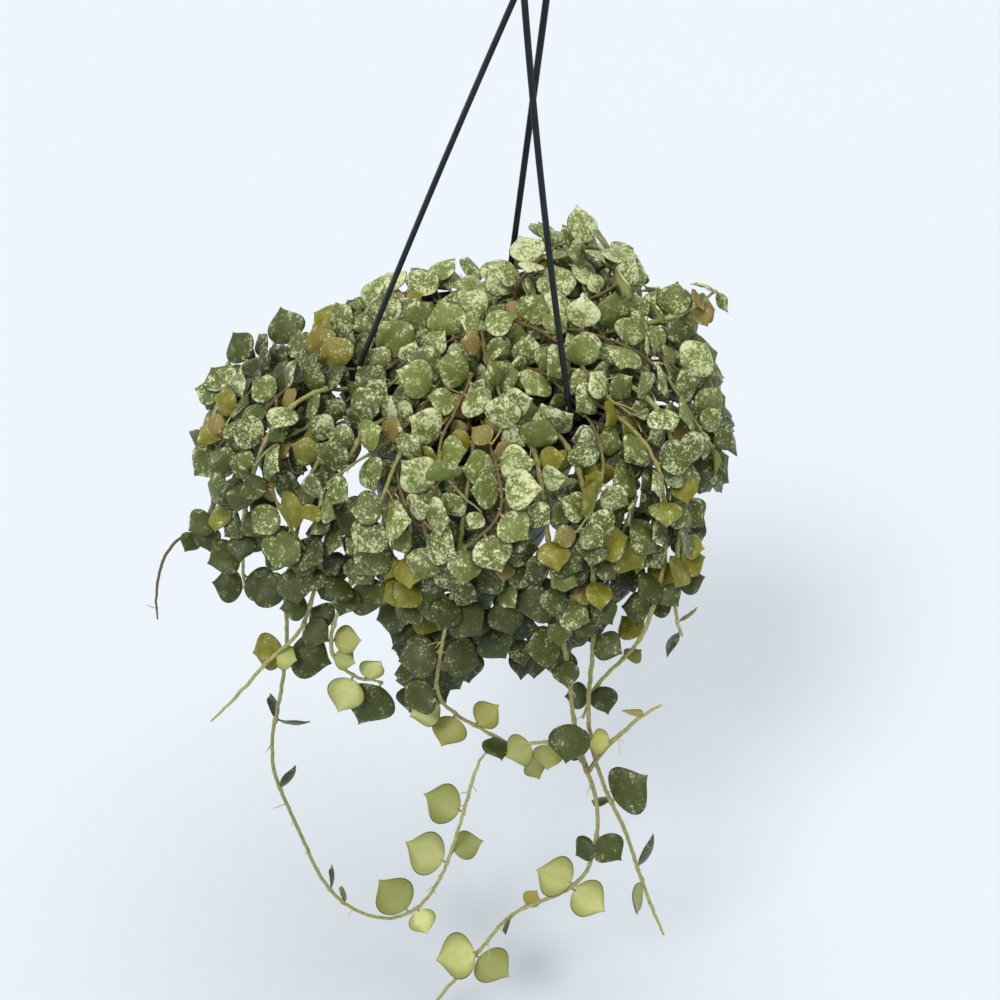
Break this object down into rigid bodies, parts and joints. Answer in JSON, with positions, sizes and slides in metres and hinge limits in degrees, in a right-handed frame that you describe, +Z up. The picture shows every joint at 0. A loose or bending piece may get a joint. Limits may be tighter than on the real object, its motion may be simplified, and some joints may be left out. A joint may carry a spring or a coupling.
{
  "type": "potted hoya curtisii",
  "caption": "Hanging pot with a three-arm hanger and hook, filled with soil and a trailing hoya curtisii whose spade-shaped flecked leaves cover the rim and hang below it.",
  "frame": {"origin": "the point inside the top of the hook where the whole thing hangs", "axes": "+Z up along the pull of the hook; -Y towards the side that the picture shows; +X to its right"},
  "size_m": [0.3192, 0.2383, 0.7701],
  "materials": {
    "black_plastic": "satin moulded polypropylene",
    "grey_plastic": "satin moulded polypropylene",
    "potting_soil": "matt, crumbly",
    "hoya_leaf": "waxy, green with pale flecks"
  },
  "bodies": {
    "root": {"pot": "black_plastic", "hanger": "grey_plastic", "soil": "potting_soil", "vine_trailing_left_tendril": "hoya_leaf", "vine_trailing_pale_shoot": "hoya_leaf", "vine_trailing_left_drop": "hoya_leaf", "vine_trailing_front_left": "hoya_leaf", "vine_trailing_front_low": "hoya_leaf", "vine_trailing_left_loop": "hoya_leaf", "vine_trailing_long_front": "hoya_leaf", "vine_trailing_right_front": "hoya_leaf", "vine_trailing_right_side": "hoya_leaf", "vine_trailing_right_loop": "hoya_leaf", "vine_trailing_right_twig": "hoya_leaf", "vine_heart_01": "hoya_leaf", "vine_heart_02": "hoya_leaf", "vine_heart_03": "hoya_leaf", "vine_heart_04": "hoya_leaf", "vine_heart_05": "hoya_leaf", "vine_crown_01": "hoya_leaf", "vine_crown_02": "hoya_leaf", "vine_crown_03": "hoya_leaf", "vine_crown_04": "hoya_leaf", "vine_crown_05": "hoya_leaf", "vine_crown_06": "hoya_leaf", "vine_crown_07": "hoya_leaf", "vine_crown_08": "hoya_leaf", "vine_crown_09": "hoya_leaf", "vine_crown_10": "hoya_leaf", "vine_crown_11": "hoya_leaf", "vine_shoulder_01": "hoya_leaf", "vine_shoulder_02": "hoya_leaf", "vine_shoulder_03": "hoya_leaf", "vine_shoulder_04": "hoya_leaf", "vine_shoulder_05": "hoya_leaf", "vine_shoulder_06": "hoya_leaf", "vine_shoulder_07": "hoya_leaf", "vine_shoulder_08": "hoya_leaf", "vine_shoulder_09": "hoya_leaf", "vine_shoulder_10": "hoya_leaf", "vine_shoulder_11": "hoya_leaf", "vine_shoulder_12": "hoya_leaf", "vine_shoulder_13": "hoya_leaf", "vine_shoulder_14": "hoya_leaf", "vine_skirt_01": "hoya_leaf", "vine_skirt_02": "hoya_leaf", "vine_skirt_03": "hoya_leaf", "vine_skirt_04": "hoya_leaf", "vine_skirt_06": "hoya_leaf", "vine_skirt_07": "hoya_leaf", "vine_skirt_08": "hoya_leaf", "vine_skirt_09": "hoya_leaf", "vine_skirt_10": "hoya_leaf", "vine_skirt_11": "hoya_leaf", "vine_skirt_12": "hoya_leaf", "vine_skirt_13": "hoya_leaf", "vine_skirt_14": "hoya_leaf", "vine_skirt_15": "hoya_leaf", "vine_skirt_16": "hoya_leaf"}
  },
  "joints": []
}
